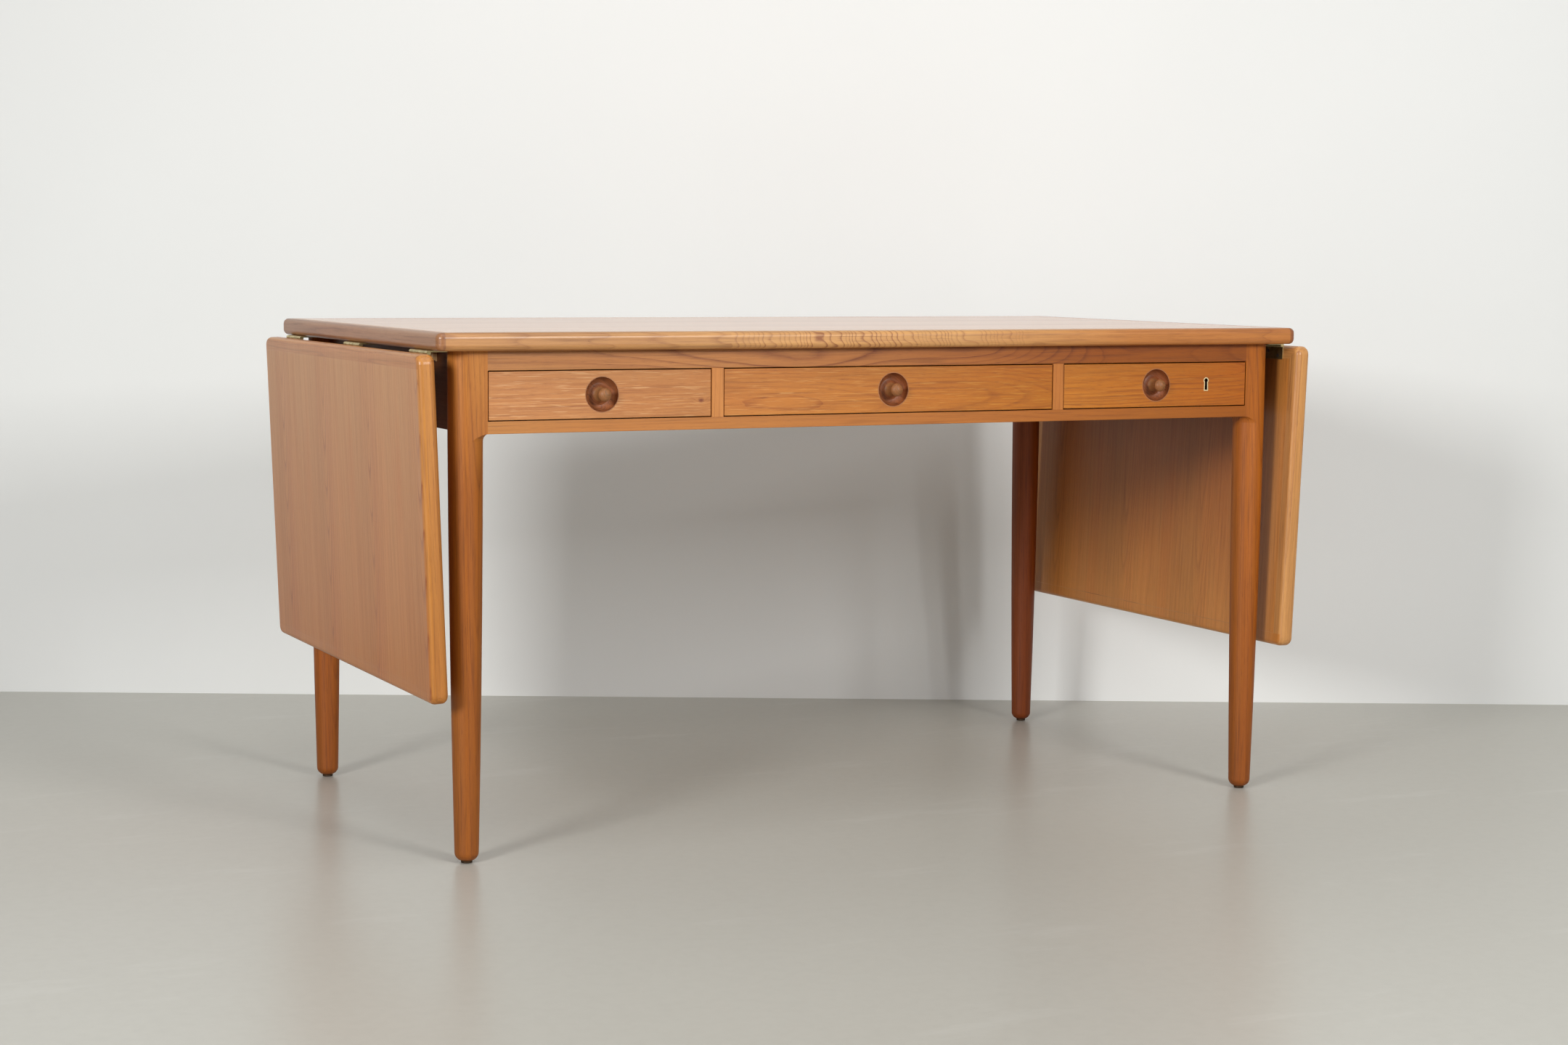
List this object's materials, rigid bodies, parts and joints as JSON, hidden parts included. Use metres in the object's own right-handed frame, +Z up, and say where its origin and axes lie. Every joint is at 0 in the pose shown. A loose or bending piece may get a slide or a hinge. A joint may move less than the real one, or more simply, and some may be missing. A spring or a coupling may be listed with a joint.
{
  "type": "writing desk",
  "caption": "Oak drop-leaf writing desk: rectangular top with a hinged leaf hanging at each end, a row of shallow drawers with turned dish pulls, and round tapered legs",
  "frame": {"origin": "on the floor under the middle of the desk, at the bottom of the leg glides", "axes": "+X to the right along the length, +Y from the drawer fronts to the back, +Z up"},
  "size_m": [1.456, 0.76, 0.73],
  "materials": {
    "oak": "oiled, open grain",
    "oak_veneer": "oiled veneer, satin",
    "pale_oak": "planed, unfinished",
    "plywood": "thin plywood, unfinished",
    "dark_wood": "turned, waxed",
    "brass": "aged brass, satin",
    "steel": "dull steel"
  },
  "bodies": {
    "root": {"top_screws": "steel", "top_panel": "oak_veneer", "top_edging": "oak", "top_hinge_flaps": "brass", "top_hinge_screws": "steel", "hinge_pins": "brass", "leg_front_right": "oak", "leg_front_left": "oak", "leg_rear_right": "oak", "leg_rear_left": "oak", "leg_glides": "steel", "front_top_rail": "oak", "lock_strike": "steel", "front_bottom_rail": "oak", "drawer_divider_left": "oak", "drawer_divider_right": "oak", "end_apron_right": "oak", "end_apron_left": "oak", "back_apron": "oak", "back_batten": "pale_oak", "inner_partition_right": "pale_oak", "inner_partition_left": "pale_oak", "drawer_runners": "pale_oak", "drawer_kickers": "pale_oak", "drawer_stops": "pale_oak"},
    "leaf_left": {"leaf_panel_left": "oak_veneer", "leaf_edging_left": "oak", "leaf_hinge_flaps_left": "brass", "leaf_hinge_screws_left": "steel"},
    "leaf_right": {"leaf_panel_right": "oak_veneer", "leaf_edging_right": "oak", "leaf_hinge_flaps_right": "brass", "leaf_hinge_screws_right": "steel"},
    "drawer_left": {"drawer_left_front": "oak", "drawer_left_side_left": "pale_oak", "drawer_left_side_right": "pale_oak", "drawer_left_back": "pale_oak", "drawer_left_bottom": "plywood", "drawer_left_pull": "dark_wood"},
    "drawer_middle": {"drawer_middle_front": "oak", "drawer_middle_side_left": "pale_oak", "drawer_middle_side_right": "pale_oak", "drawer_middle_back": "pale_oak", "drawer_middle_bottom": "plywood", "drawer_middle_pull": "dark_wood"},
    "drawer_right": {"drawer_right_front": "oak", "drawer_right_side_left": "pale_oak", "drawer_right_side_right": "pale_oak", "drawer_right_back": "pale_oak", "drawer_right_bottom": "plywood", "drawer_right_pull": "dark_wood", "lock_case": "steel", "lock_screws": "brass", "lock_escutcheon": "brass"},
    "lock_bolt": {"lock_bolt": "steel"},
    "bearer_left_front": {"bearer_left_front": "pale_oak"},
    "bearer_left_rear": {"bearer_left_rear": "pale_oak"},
    "bearer_right_front": {"bearer_right_front": "pale_oak"},
    "bearer_right_rear": {"bearer_right_rear": "pale_oak"}
  },
  "joints": [
    {"name": "leaf_right_fold", "type": "hinge", "parent": "root", "child": "leaf_right", "pos_m": [0.7003, 0, 0.702], "axis": [0, -1, 0], "range_deg": [-1.8, 92.2]},
    {"name": "leaf_left_fold", "type": "hinge", "parent": "root", "child": "leaf_left", "pos_m": [-0.7003, 0, 0.702], "axis": [0, 1, 0], "range_deg": [-1.8, 92.2]},
    {"name": "drawer_left_slide", "type": "slide", "parent": "root", "child": "drawer_left", "axis": [0, -1, 0], "range_m": [0, 0.35]},
    {"name": "drawer_middle_slide", "type": "slide", "parent": "root", "child": "drawer_middle", "axis": [0, -1, 0], "range_m": [0, 0.35]},
    {"name": "drawer_right_slide", "type": "slide", "parent": "root", "child": "drawer_right", "axis": [0, -1, 0], "range_m": [0, 0.35]},
    {"name": "lock_bolt_throw", "type": "slide", "parent": "drawer_right", "child": "lock_bolt", "axis": [0, 0, 1], "range_m": [0, 0.0065]},
    {"name": "bearer_left_front_slide", "type": "slide", "parent": "root", "child": "bearer_left_front", "axis": [-1, 0, 0], "range_m": [0, 0.045]},
    {"name": "bearer_left_rear_slide", "type": "slide", "parent": "root", "child": "bearer_left_rear", "axis": [-1, 0, 0], "range_m": [0, 0.045]},
    {"name": "bearer_right_front_slide", "type": "slide", "parent": "root", "child": "bearer_right_front", "axis": [1, 0, 0], "range_m": [0, 0.045]},
    {"name": "bearer_right_rear_slide", "type": "slide", "parent": "root", "child": "bearer_right_rear", "axis": [1, 0, 0], "range_m": [0, 0.045]}
  ]
}
